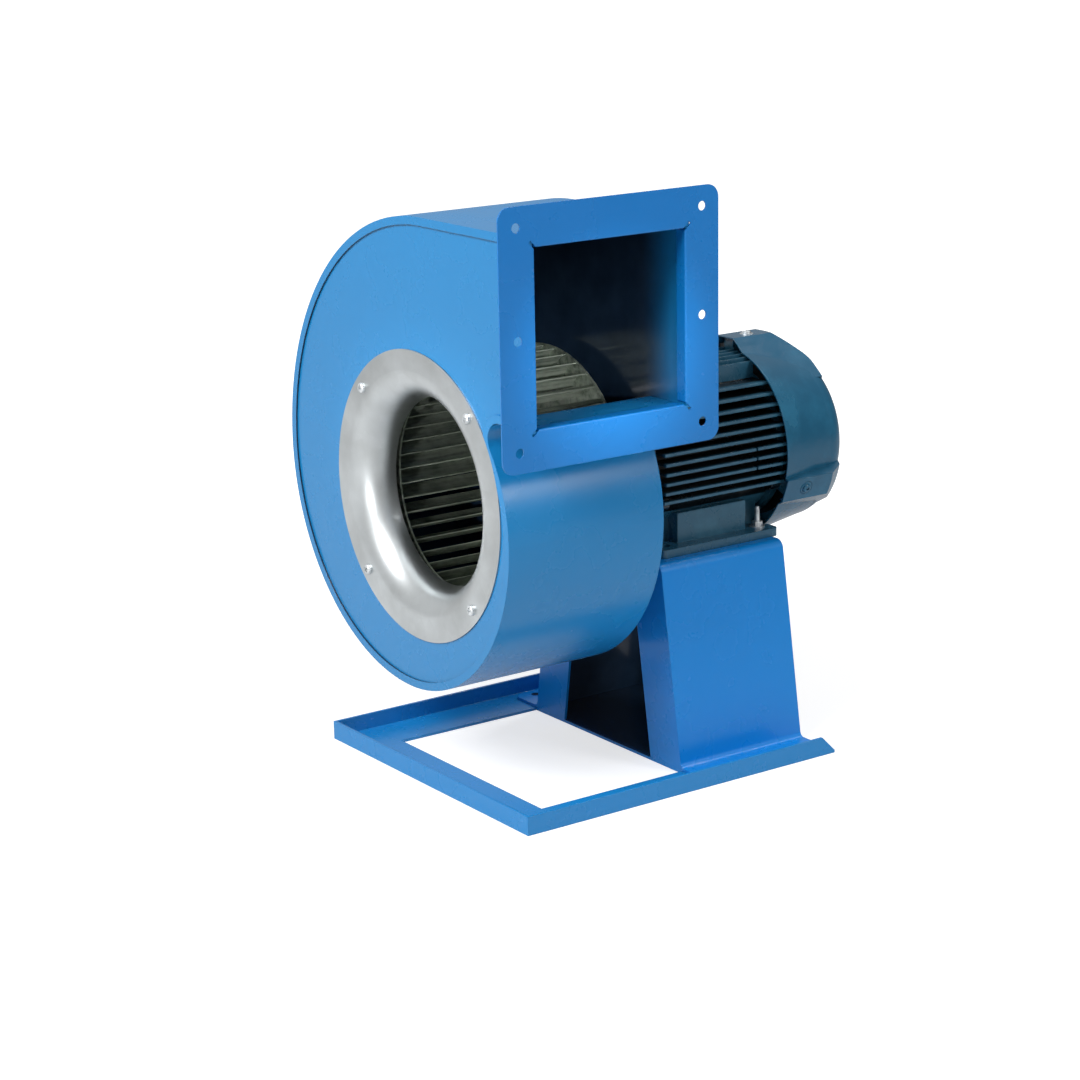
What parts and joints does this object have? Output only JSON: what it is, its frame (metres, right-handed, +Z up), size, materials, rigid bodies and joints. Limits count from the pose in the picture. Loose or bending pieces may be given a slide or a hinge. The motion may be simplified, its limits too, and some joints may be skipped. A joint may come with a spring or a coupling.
{
  "type": "centrifugal extractor fan",
  "caption": "Single inlet volute fan with a bell-mouth inlet, a rectangular discharge flange, a drum impeller and a direct-driven finned motor on a sheet pedestal and base frame.",
  "frame": {"origin": "on the floor, in the middle of the four anchor holes under the motor pedestal", "axes": "+Z up; the shaft lies along Y with the inlet facing -Y and the motor towards +Y; +X is the way the air leaves the discharge flange"},
  "size_m": [0.454, 0.5319, 0.6251],
  "materials": {
    "casing_blue": "gloss powder coat",
    "flange_blue": "gloss powder coat",
    "frame_blue": "gloss powder coat",
    "galvanised_bright": "galvanised sheet, lightly spun",
    "galvanised_dark": "galvanised sheet",
    "steel": "ground",
    "zinc": "zinc plated",
    "motor_teal": "enamel on castings",
    "cowl_teal": "enamel on pressed sheet",
    "laminations": "stacked steel laminations",
    "cast_hub": "die cast",
    "copper": "enamelled copper wire",
    "brass": "turned brass",
    "black_plastic": "moulded",
    "seal_rubber": "moulded nitrile"
  },
  "bodies": {
    "casing_and_motor": {"front_side_plate": "casing_blue", "rear_side_plate": "casing_blue", "scroll_wrap": "casing_blue", "discharge_flange": "flange_blue", "pedestal": "frame_blue", "base_frame": "frame_blue", "base_plate": "frame_blue", "inlet_cone": "galvanised_bright", "front_bearing_outer_ring": "steel", "rear_bearing_outer_ring": "steel", "front_bearing_balls": "steel", "rear_bearing_balls": "steel", "inlet_cone_screws": "zinc", "flange_bolts": "zinc", "flange_nuts": "zinc", "foot_bolts": "zinc", "foot_washers": "zinc", "foot_nuts": "zinc", "cowl_screws": "zinc", "end_shield_bolts": "zinc", "terminal_lid_screws": "zinc", "motor_housing": "motor_teal", "drive_end_shield": "motor_teal", "rear_end_shield": "motor_teal", "motor_adapter": "motor_teal", "fan_cowl": "cowl_teal", "terminal_box": "cowl_teal", "terminal_box_lid": "cowl_teal", "stator_core": "laminations", "stator_windings": "copper", "terminal_studs": "brass", "cable_gland": "black_plastic", "terminal_board": "black_plastic", "shaft_seal": "seal_rubber"},
    "rotor": {"motor_shaft": "steel", "rotor_core": "laminations", "shaft_key": "steel", "impeller_hub": "cast_hub", "impeller_back_disc": "galvanised_dark", "impeller_blades": "galvanised_dark", "impeller_front_ring": "galvanised_dark", "hub_rivets": "zinc", "shaft_end_washer": "zinc", "shaft_end_bolt": "zinc", "front_bearing_inner_ring": "steel", "rear_bearing_inner_ring": "steel", "cooling_fan": "black_plastic", "fan_circlip": "zinc"}
  },
  "joints": [
    {"name": "rotor_spin", "type": "hinge", "parent": "casing_and_motor", "child": "rotor", "pos_m": [0, 0, 0.3085], "axis": [0, 1, 0], "continuous": true}
  ]
}
